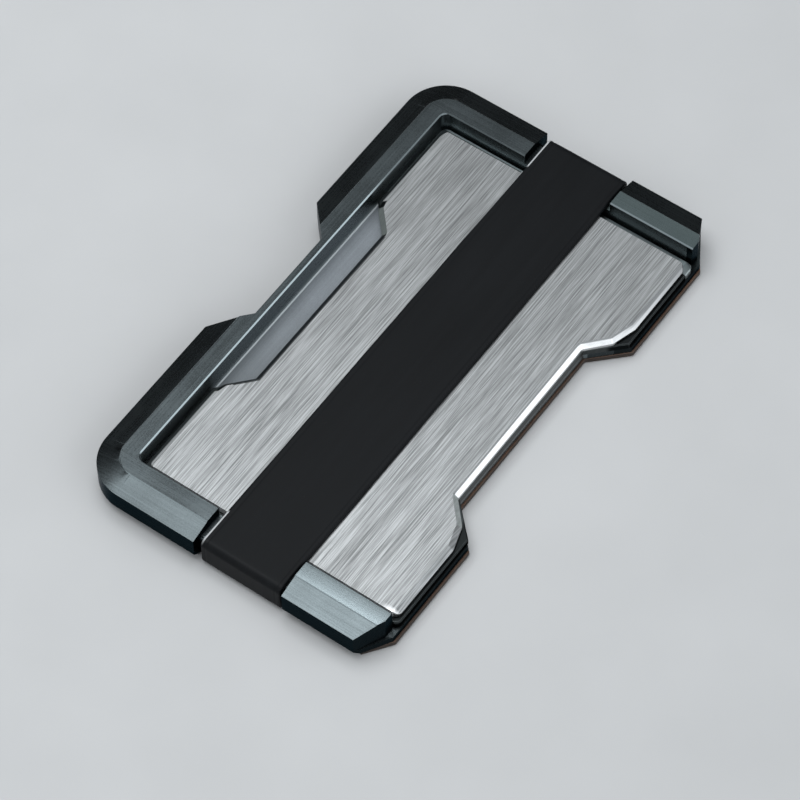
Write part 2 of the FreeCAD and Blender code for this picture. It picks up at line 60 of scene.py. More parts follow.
# ------------------------------------------------------------------ node helpers
class Mat:
    """A node material built in a few short calls."""

    def __init__(self, name):
        self.m = bpy.data.materials.new(name)
        self.m.use_nodes = True
        self.t = self.m.node_tree
        for n in list(self.t.nodes):
            self.t.nodes.remove(n)
        self.out = self.add("ShaderNodeOutputMaterial")
        self.b = self.add("ShaderNodeBsdfPrincipled")
        self.link(self.b.outputs["BSDF"], self.out.inputs["Surface"])
        self.co = self.add("ShaderNodeTexCoord").outputs["Object"]

    def add(self, kind, **kw):
        n = self.t.nodes.new(kind)
        for k, v in kw.items():
            setattr(n, k, v)
        return n

    def link(self, a, b):
        self.t.links.new(a, b)

    def put(self, sock, v):
        if isinstance(v, bpy.types.NodeSocket):
            self.link(v, sock)
        else:
            sock.default_value = v

    def math(self, op, a, b=0.0, c=None, clamp=False):
        n = self.add("ShaderNodeMath", operation=op, use_clamp=clamp)
        self.put(n.inputs[0], a)
        self.put(n.inputs[1], b)
        if c is not None:
            self.put(n.inputs[2], c)
        return n.outputs[0]

    def vec(self, op, a, b=(0, 0, 0)):
        n = self.add("ShaderNodeVectorMath", operation=op)
        self.put(n.inputs[0], a)
        self.put(n.inputs[1], b)
        return n.outputs["Value"] if op in ("DOT_PRODUCT", "LENGTH", "DISTANCE") else n.outputs["Vector"]

    def mapped(self, scale, loc=(0, 0, 0), rot=(0, 0, 0), src=None):
        n = self.add("ShaderNodeMapping")
        self.put(n.inputs["Vector"], src or self.co)
        n.inputs["Scale"].default_value = scale
        n.inputs["Location"].default_value = loc
        n.inputs["Rotation"].default_value = rot
        return n.outputs["Vector"]

    def noise(self, vec, scale=1.0, detail=4.0, rough=0.5, dist=0.0):
        n = self.add("ShaderNodeTexNoise")
        self.put(n.inputs["Vector"], vec)
        n.inputs["Scale"].default_value = scale
        n.inputs["Detail"].default_value = detail
        n.inputs["Roughness"].default_value = rough
        n.inputs["Distortion"].default_value = dist
        return n.outputs["Fac"]

    def voronoi(self, vec, scale=1.0, feature="F1"):
        n = self.add("ShaderNodeTexVoronoi", feature=feature)
        self.put(n.inputs["Vector"], vec)
        n.inputs["Scale"].default_value = scale
        return n.outputs["Distance"]

    def ramp(self, fac, stops, interp="LINEAR"):
        n = self.add("ShaderNodeValToRGB")
        self.put(n.inputs["Fac"], fac)
        r = n.color_ramp
        r.interpolation = interp
        while len(r.elements) < len(stops):
            r.elements.new(0.5)
        for e, (p, c) in zip(r.elements, stops):
            e.position = p
            e.color = c if len(c) == 4 else (*c, 1.0)
        return n.outputs["Color"]

    def remap(self, v, a, b, c, d):
        n = self.add("ShaderNodeMapRange")
        self.put(n.inputs["Value"], v)
        for k, x in zip(("From Min", "From Max", "To Min", "To Max"), (a, b, c, d)):
            n.inputs[k].default_value = x
        return n.outputs["Result"]

    def mix(self, f, a, b):
        n = self.add("ShaderNodeMix", data_type="RGBA")
        self.put(n.inputs["Factor"], f)
        self.put(n.inputs["A"], a if isinstance(a, bpy.types.NodeSocket) else (*a, 1.0))
        self.put(n.inputs["B"], b if isinstance(b, bpy.types.NodeSocket) else (*b, 1.0))
        return n.outputs["Result"]

    def mixf(self, f, a, b):
        n = self.add("ShaderNodeMix", data_type="FLOAT")
        self.put(n.inputs["Factor"], f)
        self.put(n.inputs["A"], a)
        self.put(n.inputs["B"], b)
        return n.outputs["Result"]

    def bump(self, h, strength, dist, normal=None):
        n = self.add("ShaderNodeBump")
        n.inputs["Strength"].default_value = strength
        n.inputs["Distance"].default_value = dist
        self.put(n.inputs["Height"], h)
        if normal is not None:
            self.link(normal, n.inputs["Normal"])
        return n.outputs["Normal"]

    def set(self, **kw):
        names = {"base": "Base Color", "metal": "Metallic", "rough": "Roughness", "normal": "Normal", "aniso": "Anisotropic",
                 "spec": "Specular IOR Level", "coat": "Coat Weight", "coat_rough": "Coat Roughness", "tangent": "Tangent",
                 "sheen": "Sheen Weight", "sheen_rough": "Sheen Roughness", "ior": "IOR", "tint": "Specular Tint"}
        for k, v in kw.items():
            s = self.b.inputs[names[k]]
            if k in ("base", "tint") and not isinstance(v, bpy.types.NodeSocket):
                v = (*v, 1.0)
            self.put(s, v)
        return self

    def side(self):
        """Face normal components in object space."""
        n = self.add("ShaderNodeSeparateXYZ")
        self.link(self.add("ShaderNodeTexCoord").outputs["Normal"], n.inputs[0])
        return n.outputs

    def xyz(self):
        n = self.add("ShaderNodeSeparateXYZ")
        self.link(self.co, n.inputs[0])
        return n.outputs


# ------------------------------------------------------------------ materials
def anodised(name, base=(0.070, 0.082, 0.086), rough0=0.23, rough1=0.33):
    """Dark grey anodised aluminium: fine bead-blast grain under faint cutter lines that follow the rims.
    The bottom of the tray is painted brighter and bluer, partly for its satin facing cuts and partly as painted
    light; walls, slopes, tops and bevels also carry painted light and painted shade."""
    M = Mat(name)
    x, y, z = M.xyz()
    on_end = M.math("GREATER_THAN", M.math("ABSOLUTE", y), 0.0434)
    along_x = M.noise(M.mapped((55, 3600, 1500)), 1.0, 5, 0.62)
    along_y = M.noise(M.mapped((3600, 55, 1500), (3, 1, 0)), 1.0, 5, 0.62)
    lines = M.mixf(on_end, along_y, along_x)
    grain = M.noise(M.mapped((1, 1, 1)), 5200, 3, 0.6)
    cloud = M.noise(M.mapped((1, 1, 1)), 95, 3, 0.55)
    deep = M.noise(M.mapped((30, 1500, 300)), 1.0, 2, 0.5)
    deep = M.math("MULTIPLY", M.remap(deep, 0.60, 0.70, 0.0, 1.0), on_end)
    tone = M.math("MULTIPLY_ADD", lines, 0.36, M.math("MULTIPLY_ADD", grain, 0.34, M.math("MULTIPLY", cloud, 0.30)))
    lo = tuple(c * 0.66 for c in base)
    hi = tuple(min(1.0, c * 1.45) for c in base)
    col = M.ramp(tone, [(0.36, lo), (0.5, base), (0.64, hi)])
    col = M.mix(M.math("MULTIPLY", deep, 0.30), col, tuple(c * 1.9 for c in base))
    nz = M.side()[2]
    ay = M.math("ABSOLUTE", y)
    # painted shade: the outer walls are painted darker for the dark they reflect; painted light: the flat tops are
    # painted a little lighter towards one end
    wall = M.remap(M.math("ABSOLUTE", nz), 0.25, 0.45, 1.0, 0.0)
    inner = M.math("MULTIPLY", M.math("LESS_THAN", ay, 0.0436), M.math("LESS_THAN", M.math("ABSOLUTE", M.math("SUBTRACT", x, 0.0022)), 0.0250))
    wall = M.math("MULTIPLY", wall, M.math("SUBTRACT", 1.0, inner))
    col = M.mix(M.math("MULTIPLY", wall, 0.90), col, tuple(c * 0.20 for c in base))
    # painted light: the walls inside the tray are painted lighter than the outer walls
    painted_light_inner_walls = M.math("MULTIPLY", inner, M.remap(M.math("ABSOLUTE", nz), 0.25, 0.45, 1.0, 0.0))
    col = M.mix(M.math("MULTIPLY", painted_light_inner_walls, 0.9), col, tuple(c * 2.3 for c in base))
    # painted light: the flat tops at the near end, away from the walls, are painted much lighter where they catch the
    # light
    rub = M.math("MULTIPLY", M.remap(x, -0.010, 0.022, 0.0, 1.0), M.remap(y, -0.0425, -0.0465, 0.0, 1.0))
    rub = M.math("MULTIPLY", rub, M.math("SUBTRACT", 1.0, wall))
    flat = M.remap(nz, 0.985, 0.995, 0.0, 1.0)
    # painted shade: the sloped faces at the near-left end are painted darker
    ramp = M.math("MULTIPLY", M.math("LESS_THAN", nz, 0.985), M.math("GREATER_THAN", nz, 0.92))
    ramp = M.math("MULTIPLY", ramp, M.math("MULTIPLY", M.math("LESS_THAN", y, -0.0435), M.math("LESS_THAN", x, 0.0)))
    col = M.mix(M.math("MULTIPLY", ramp, 0.28), col, tuple(c * 0.2 for c in base))
    # painted light: the flat tops at the far right are painted paler
    pale = M.math("MULTIPLY", flat, M.math("MULTIPLY", M.math("GREATER_THAN", x, 0.0100), M.math("GREATER_THAN", y, 0.0430)))
    col = M.mix(M.math("MULTIPLY", pale, 0.55), col, tuple(c * k for c, k in zip(base, (2.0, 2.2, 2.1))))
    # painted light on the near flat tops
    col = M.mix(M.math("MULTIPLY", rub, M.math("MULTIPLY", flat, 0.95)), col, tuple(c * 4.5 for c in base))
    # floor of the tray: a satin cut finish, painted brighter partly as painted light from above, with painted shade
    # towards the near end and a painted highlight line at the foot of the wall, where the cutter's corner met it
    pocket = M.math("MULTIPLY", M.math("LESS_THAN", z, 0.0030), M.math("LESS_THAN", ay, 0.0432))
    pocket = M.math("MULTIPLY", pocket, M.math("GREATER_THAN", nz, 0.5))
    pocket = M.math("MULTIPLY", pocket, M.math("GREATER_THAN", z, 0.0022))
    pocket = M.math("MULTIPLY", pocket, M.math("LESS_THAN", x, 0.0240))
    # painted shade: the low shelf on the open side, under the plate, is painted dark
    shelf = M.math("MULTIPLY", M.math("LESS_THAN", z, 0.0030), M.math("GREATER_THAN", x, 0.0240))
    col = M.mix(M.math("MULTIPLY", shelf, 0.75), col, tuple(c * 0.30 for c in base))
    # painted highlight: a thin bright line along the foot of the left wall
    foot = M.remap(x, -0.02225, -0.02240, 0.0, 1.0)
    pcol = M.mix(M.remap(tone, 0.4, 0.6, 0.0, 1.0), (0.150, 0.166, 0.182), (0.205, 0.225, 0.245))
    # painted shade: the floor darkens towards the near end
    pcol = M.mix(M.remap(y, -0.018, 0.002, 0.45, 0.0), pcol, (0.090, 0.104, 0.108))
    pcol = M.mix(foot, pcol, (0.62, 0.66, 0.68))
    col = M.mix(pocket, col, pcol)
    metal = M.mixf(pocket, 1.0, 0.25)
    # small bevels are painted lighter than the faces: partly edge wear, partly painted highlight, strongest where
    # they catch the light
    arris = M.math("MULTIPLY", M.math("GREATER_THAN", nz, 0.60), M.math("LESS_THAN", nz, 0.82))
    wear_and_highlight = M.math("MAXIMUM", M.math("MULTIPLY", M.math("LESS_THAN", x, -0.0215), M.remap(y, 0.021, 0.026, 1.0, 0.12)),
                  M.math("MULTIPLY", M.math("GREATER_THAN", x, 0.0100), 0.55))
    wear_and_highlight = M.math("MAXIMUM", wear_and_highlight, M.math("MULTIPLY", M.math("LESS_THAN", y, -0.0425), 0.80))
    high = M.math("MULTIPLY", M.math("GREATER_THAN", z, 0.0050), M.math("MULTIPLY", arris, 0.9))
    col = M.mix(M.math("MULTIPLY", high, wear_and_highlight), col, tuple(c * 4.2 for c in base))
    rough = M.remap(tone, 0.3, 0.7, rough0, rough1)
    height = M.math("MULTIPLY_ADD", lines, 0.6, M.math("MULTIPLY", grain, 0.6))
    # painted shade: the outer walls and the low shelf also get a dimmer specular tint
    tint = M.mix(M.math("MAXIMUM", wall, shelf), (1.0, 1.0, 1.0), (0.42, 0.45, 0.47))
    M.set(base=col, metal=metal, rough=M.mixf(pocket, rough, 0.5), tint=tint, normal=M.bump(height, 0.20, 0.00002))
    return M.m


def brushed(name, base=(0.222, 0.228, 0.230), metal=1.0, aniso=0.65, marks=False):
    """Steel brushed along Y: long fine strokes of mixed width, with a few deeper ones."""
    M = Mat(name)
    fine = M.noise(M.mapped((6800, 130, 40)), 1.0, 3, 0.62)
    mid = M.noise(M.mapped((3600, 52, 30), (9, 4, 0), (0, 0, 0.004)), 1.0, 2, 0.55)
    broad = M.noise(M.mapped((420, 9, 10), (2, 7, 0), (0, 0, -0.003)), 1.0, 2, 0.5)
    deep = M.noise(M.mapped((5200, 105, 30), (5, 2, 0), (0, 0, 0.007)), 1.0, 2, 0.5)
    dark = M.remap(deep, 0.60, 0.72, 0.0, 1.0)
    light = M.remap(deep, 0.40, 0.28, 0.0, 1.0)
    s = M.math("MULTIPLY_ADD", fine, 0.54, M.math("MULTIPLY_ADD", mid, 0.38, M.math("MULTIPLY", broad, 0.08)))
    lo = tuple(c * 0.58 for c in base)
    hi = tuple(min(1, c * 1.46) for c in base)
    col = M.ramp(s, [(0.40, lo), (0.5, base), (0.60, hi)])
    col = M.mix(M.math("MULTIPLY", dark, 0.24), col, tuple(c * 0.45 for c in base))
    col = M.mix(M.math("MULTIPLY", light, 0.24), col, tuple(c * 1.9 for c in base))
    if marks:
        x, y, z = M.xyz()
        y = M.math("ADD", y, 0.000425)
        # painted shade: a dark line where the brushed face runs out along the closed side's notch, standing in for
        # the shaded bevel and gap
        dg = M.math("ADD", M.math("MULTIPLY_ADD", x, 0.738, 0.0), M.math("MULTIPLY", M.math("ABSOLUTE", y), 0.674))
        dg = M.math("SUBTRACT", dg, 0.000214)
        near = M.math("MAXIMUM", M.math("SUBTRACT", x, -0.01637), dg)
        line = M.math("MULTIPLY", M.remap(near, 0.00014, 0.00024, 1.0, 0.0), M.math("LESS_THAN", x, -0.0150))
        line = M.math("MULTIPLY", line, M.remap(y, 0.0172, 0.0176, 1.0, 0.0))
        line = M.math("MULTIPLY", line, M.math("LESS_THAN", M.math("ABSOLUTE", y), 0.0215))
        col = M.mix(M.math("MULTIPLY", line, 0.9), col, (0.016, 0.018, 0.019))
        # painted highlight: the free corner of the near end is painted bright
        painted_highlight_tip = M.math("MULTIPLY", M.remap(y, -0.04090, -0.04160, 0.0, 1.0), M.remap(x, 0.0250, 0.0275, 0.0, 1.0))
        col = M.mix(M.math("MULTIPLY", painted_highlight_tip, 0.9), col, (0.72, 0.725, 0.73))
    rough = M.remap(s, 0.38, 0.62, 0.40, 0.32)
    h = M.math("MULTIPLY_ADD", fine, 0.6, M.math("MULTIPLY_ADD", mid, 0.9, M.math("MULTIPLY", dark, -0.4)))
    tan = M.add("ShaderNodeCombineXYZ")
    tan.inputs[0].default_value, tan.inputs[1].default_value, tan.inputs[2].default_value = 0.0, 1.0, 0.0
    M.set(base=col, metal=metal, rough=rough, aniso=aniso, normal=M.bump(h, 0.13, 0.00002))
    M.link(tan.outputs[0], M.b.inputs["Tangent"])
    return M.m


def satin_steel(name, base, rough0=0.3, rough1=0.42, strokes=(2600, 60, 900), metal=1.0, liner=False):
    """Ground steel: short fine strokes and a light haze."""
    M = Mat(name)
    st = M.noise(M.mapped(strokes), 1.0, 4, 0.65)
    haze = M.noise(M.mapped((1, 1, 1)), 420, 3, 0.5)
    grain = M.noise(M.mapped((1, 1, 1)), 8000, 2, 0.5)
    t = M.math("MULTIPLY_ADD", st, 0.55, M.math("MULTIPLY_ADD", haze, 0.25, M.math("MULTIPLY", grain, 0.2)))
    col = M.ramp(t, [(0.32, tuple(c * 0.7 for c in base)), (0.5, base), (0.7, tuple(min(1, c * 1.3) for c in base))])
    if liner:
        x, y, z = M.xyz()
        # the ledge that shows past the cover plate: painted shade on the open side, painted light at the far end
        side = M.math("MULTIPLY", M.remap(x, 0.0262, 0.0268, 0.0, 1.0), M.math("LESS_THAN", y, 0.0405))
        col = M.mix(M.math("MULTIPLY", side, 0.8), col, tuple(c * 0.22 for c in base))
        far = M.math("MULTIPLY", M.math("GREATER_THAN", y, 0.0412), M.remap(x, 0.006, 0.012, 0.0, 1.0))
        col = M.mix(far, col, tuple(c * 2.4 for c in base))
        # painted highlight: bright lines along the ledge's far and left edges
        rim = M.math("MULTIPLY", M.remap(y, 0.04255, 0.04262, 0.0, 1.0), M.math("LESS_THAN", x, 0.006))
        rim = M.math("MAXIMUM", rim, M.math("MULTIPLY", M.remap(x, -0.02205, -0.02212, 0.0, 1.0), M.math("GREATER_THAN", y, 0.026)))
        col = M.mix(rim, col, tuple(c * 5.0 for c in base))
        # painted light: the ledge's far corner on the open side
        ear = M.math("MULTIPLY", M.math("GREATER_THAN", y, 0.0405), M.remap(x, 0.0262, 0.0275, 0.0, 1.0))
        col = M.mix(ear, col, tuple(c * 5.0 for c in base))
        # painted shade: a dimmer specular tint on the open side as well
        M.set(tint=M.mix(side, (1.0, 1.0, 1.0), (0.15, 0.15, 0.16)))
    M.set(base=col, metal=metal, rough=M.remap(t, 0.3, 0.7, rough1, rough0), normal=M.bump(st, 0.2, 0.00002))
    return M.m


def painted_light_bevel(name):
    """The cover plate's bevel on the open side, painted light and shade along it: painted mirror bright in the notch,
    narrowing and painted duller towards the far corner and low down.
    """
    M = Mat(name)
    x, y, z = M.xyz()
    st = M.noise(M.mapped((1500, 90, 2600)), 1.0, 4, 0.6)
    far = M.remap(y, 0.0225, 0.0300, 0.0, 1.0)
    fade = M.remap(y, 0.0290, 0.0410, 0.0, 1.0)
    low = M.remap(z, 0.00492, 0.00512, 1.0, 0.0)
    soft = M.mix(fade, (0.42, 0.425, 0.43), (0.22, 0.225, 0.23))
    col = M.mix(low, (0.150, 0.154, 0.156), soft)
    bright = M.mix(M.remap(y, 0.0165, 0.0190, 0.0, 1.0), (0.74, 0.745, 0.75), (0.50, 0.505, 0.51))
    bright = M.mix(M.remap(z, 0.00520, 0.00532, 0.0, 1.0), bright, (0.165, 0.170, 0.172))
    col = M.mix(far, bright, col)
    col = M.mix(M.remap(st, 0.35, 0.65, 0.16, 0.0), col, (0.05, 0.052, 0.053))
    M.set(base=col, metal=1.0, rough=M.remap(st, 0.3, 0.7, 0.18, 0.27), normal=M.bump(st, 0.12, 0.00002))
    return M.m


def rubber(name):
    """Satin black elastic: a very fine knit under a smooth skin, with faint dust and rub marks."""
    M = Mat(name)
    wx = M.add("ShaderNodeTexWave", wave_type="BANDS", bands_direction="Y", wave_profile="SIN")
    M.put(wx.inputs["Vector"], M.mapped((1, 1, 1)))
    wx.inputs["Scale"].default_value = 620
    wx.inputs["Distortion"].default_value = 0.6
    wx.inputs["Detail"].default_value = 1.0
    grain = M.noise(M.mapped((1, 1, 1)), 5200, 3, 0.6)
    cloud = M.noise(M.mapped((130, 42, 60)), 1.0, 4, 0.55)
    rub = M.noise(M.mapped((900, 45, 60), (4, 0, 2)), 1.0, 3, 0.6)
    dust = M.remap(M.noise(M.mapped((1, 1, 1)), 3400, 2, 0.5), 0.70, 0.80, 0.0, 1.0)
    t = M.math("MULTIPLY_ADD", cloud, 0.6, M.math("MULTIPLY", rub, 0.4))
    col = M.ramp(t, [(0.35, (0.0024, 0.0029, 0.0036)), (0.5, (0.0034, 0.0040, 0.0048)), (0.68, (0.0048, 0.0055, 0.0065))])
    col = M.mix(M.math("MULTIPLY", dust, 0.12), col, (0.06, 0.06, 0.06))
    # painted highlight: the left edge is painted bright where it runs through the two gates
    bx, by, bz = M.xyz()
    ay = M.math("ABSOLUTE", by)
    painted_highlight_edge = M.remap(M.math("ABSOLUTE", M.math("SUBTRACT", bx, -0.00474)), 0.00018, 0.00028, 1.0, 0.0)
    painted_highlight_edge = M.math("MULTIPLY", painted_highlight_edge, M.remap(ay, 0.0423, 0.0428, 0.0, 1.0))
    painted_highlight_edge = M.math("MULTIPLY", painted_highlight_edge, M.remap(ay, 0.0488, 0.0499, 1.0, 0.0))
    painted_highlight_edge = M.math("MULTIPLY", painted_highlight_edge, M.math("GREATER_THAN", bz, 0.0040))
    # a fainter painted highlight goes on for a while over the plate's far half
    faint = M.remap(M.math("ABSOLUTE", M.math("SUBTRACT", bx, -0.00480)), 0.00008, 0.00016, 1.0, 0.0)
    faint = M.math("MULTIPLY", faint, M.math("MULTIPLY", M.remap(by, 0.0230, 0.0380, 0.0, 0.8), M.math("LESS_THAN", by, 0.0412)))
    painted_highlight_edge = M.math("MAXIMUM", painted_highlight_edge, M.math("MULTIPLY", faint, M.math("GREATER_THAN", bz, 0.0060)))
    col = M.mix(painted_highlight_edge, col, (0.46, 0.47, 0.48))
    rough = M.math("MULTIPLY_ADD", grain, 0.10, M.remap(t, 0.3, 0.7, 0.42, 0.52))
    h = M.math("MULTIPLY_ADD", grain, 0.55, M.math("MULTIPLY", wx.outputs["Fac"], 0.35))
    M.set(base=col, metal=0.0, rough=rough, spec=0.12, normal=M.bump(h, 0.18, 0.00003))
    return M.m


def leather(name):
    """Brown full-grain leather: pebble cells, pores, creases and a darker burnished edge."""
    M = Mat(name)
    x, y, z = M.xyz()
    warp = M.add("ShaderNodeTexNoise")
    M.put(warp.inputs["Vector"], M.mapped((1, 1, 1)))
    warp.inputs["Scale"].default_value = 700
    warp.inputs["Detail"].default_value = 3
    off = M.vec("SCALE", M.vec("SUBTRACT", warp.outputs["Color"], (0.5, 0.5, 0.5)))
    off.node.inputs["Scale"].default_value = 0.0010
    src = M.vec("ADD", M.co, off)
    cell = M.voronoi(src, 1150, "DISTANCE_TO_EDGE")
    cell2 = M.voronoi(src, 2600, "DISTANCE_TO_EDGE")
    creases = M.remap(cell, 0.0, 0.16, 0.0, 1.0)
    creases2 = M.remap(cell2, 0.0, 0.14, 0.0, 1.0)
    cloud = M.noise(M.mapped((1, 1, 1)), 110, 4, 0.6)
    blot = M.noise(M.mapped((1, 1, 1), (3, 3, 3)), 38, 3, 0.5)
    pores = M.remap(M.voronoi(M.co, 2300), 0.0, 0.14, 0.0, 1.0)
    t = M.math("MULTIPLY_ADD", cloud, 0.6, M.math("MULTIPLY", blot, 0.4))
    col = M.ramp(t, [(0.34, (0.034, 0.017, 0.010)), (0.5, (0.066, 0.034, 0.020)), (0.68, (0.105, 0.058, 0.036))])
    dark = M.math("MULTIPLY", M.math("SUBTRACT", 1.0, creases), 0.55)
    col = M.mix(dark, col, (0.028, 0.013, 0.008))
    col = M.mix(M.math("MULTIPLY", M.math("SUBTRACT", 1.0, pores), 0.35), col, (0.02, 0.01, 0.006))
    up = M.math("ABSOLUTE", M.side()[2])
    edge = M.remap(up, 0.25, 0.8, 1.0, 0.0)
    fibre = M.noise(M.mapped((900, 900, 3600)), 1.0, 4, 0.7)
    edge_col = M.ramp(fibre, [(0.3, (0.013, 0.009, 0.007)), (0.55, (0.025, 0.017, 0.013)), (0.75, (0.044, 0.032, 0.025))])
    col = M.mix(M.math("MULTIPLY", edge, 0.9), col, edge_col)
    rough = M.mixf(edge, M.remap(t, 0.3, 0.7, 0.42, 0.58), 0.62)
    h = M.math("MULTIPLY_ADD", creases, 0.7, M.math("MULTIPLY_ADD", creases2, 0.28, M.math("MULTIPLY", pores, 0.2)))
    h = M.math("MULTIPLY", h, M.math("SUBTRACT", 1.0, M.math("MULTIPLY", edge, 0.85)))
    h = M.math("MULTIPLY_ADD", M.math("MULTIPLY", fibre, edge), 0.5, h)
    M.set(base=col, metal=0.0, rough=rough, spec=0.35, normal=M.bump(h, 0.42, 0.00008))
    return M.m


def floor_mat(name):
    M = Mat(name)
    n = M.noise(M.mapped((1, 1, 1)), 40, 4, 0.5)
    col = M.ramp(n, [(0.3, (0.435, 0.437, 0.440)), (0.7, (0.455, 0.457, 0.460))])
    g = M.noise(M.mapped((1, 1, 1)), 2600, 3, 0.6)
    M.set(base=col, rough=0.75, spec=0.25, normal=M.bump(g, 0.06, 0.00004))
    return M.m


mat_body = anodised("anodised_grey")
# the chassis's bevel faces take a lighter copy of the anodising: partly edge wear, partly painted highlight
mat_body_edge = anodised("anodised_edge", (0.110, 0.125, 0.130), 0.20, 0.30)
mat_plate = brushed("brushed_plate", marks=True)
# the plate's bevel faces take lit and shaded copies of its steel: each tone is painted light or painted shade for
# where that bevel faces
mat_plate_edge = painted_light_bevel("plate_bevel")
mat_plate_end = brushed("plate_end_bevel", (0.62, 0.625, 0.63), 0.30, 0.3)
mat_plate_dark = satin_steel("plate_left_bevel", (0.055, 0.060, 0.062), 0.30, 0.40)
mat_plate_side = brushed("plate_side_bevel", (0.40, 0.41, 0.41), 0.15, 0.2)
mat_plate_green = satin_steel("plate_notch_bevel", (0.118, 0.132, 0.127), 0.42, 0.52, metal=0.15)
mat_plate_grey = satin_steel("plate_notch_bevel_open", (0.215, 0.232, 0.228), 0.42, 0.52, metal=0.15)
mat_liner = satin_steel("liner_ground", (0.046, 0.052, 0.053), liner=True)
# the liner's bevel faces take a lighter copy: partly edge wear, partly painted highlight
mat_liner_edge = satin_steel("liner_edge", (0.085, 0.094, 0.096), 0.26, 0.36)
mat_screw = satin_steel("black_oxide", (0.07, 0.07, 0.075), 0.32, 0.45, (1800, 1800, 1800))
mat_screw_edge = satin_steel("black_oxide_worn", (0.20, 0.20, 0.205), 0.25, 0.35, (1800, 1800, 1800))
mat_band = rubber("satin_elastic")
mat_leather = leather("brown_leather")


# ------------------------------------------------------------------ CAD nodes that stay
def dress(node, mats, width, angle=24, segments=2):
    """Gives a CAD node its materials, and small rounded edges that catch light."""
    o = nodes[node]
    o.data.materials.clear()
    for m in mats:
        o.data.materials.append(m)
    w = o.modifiers.new("weld", "WELD")
    w.merge_threshold = 0.000004
    b = o.modifiers.new("edges", "BEVEL")
    b.width = width
    b.segments = segments
    b.limit_method = "ANGLE"
    b.angle_limit = math.radians(angle)
    b.material = len(mats) - 1
    b.use_clamp_overlap = True
    b.miter_outer = "MITER_ARC"
    n = o.modifiers.new("shade", "WEIGHTED_NORMAL")
    n.weight = 60
    n.keep_sharp = False
    for p in o.data.polygons:
        p.use_smooth = True
        p.material_index = 0
    return o


dress("chassis", [mat_body, mat_body_edge], 0.00008)
dress("cover_plate", [mat_plate, mat_plate_end, mat_plate_dark, mat_plate_side, mat_plate_green, mat_plate_grey, mat_plate_edge], 0.00005)
dress("liner_plate", [mat_liner, mat_liner_edge], 0.00004)
dress("backing_screws", [mat_screw, mat_screw_edge], 0.00005)
# the cover plate's bevel faces take lit and shaded copies of the steel: brushed and painted bright at the near end,
# painted bright along the open side, and painted grey to dark along the closed side
for p in nodes["cover_plate"].data.polygons:
    nx, ny, cy = p.normal.x, p.normal.y, p.center.y + 0.000425
    if abs(p.normal.z) > 0.9:
        continue
    if ny < -0.55 and abs(nx) < 0.3:
        p.material_index = 1
    elif nx < -0.2 and ny < -0.2 and cy > 0:
        p.material_index = 4
    elif nx < -0.2:
        p.material_index = 3 if abs(cy) > 0.0238 else 2
    elif nx > 0.2 and cy < -0.0225:
        p.material_index = 0
    elif nx > 0.2 and ny > 0.2 and cy < 0:
        p.material_index = 5
    else:
        p.material_index = 6


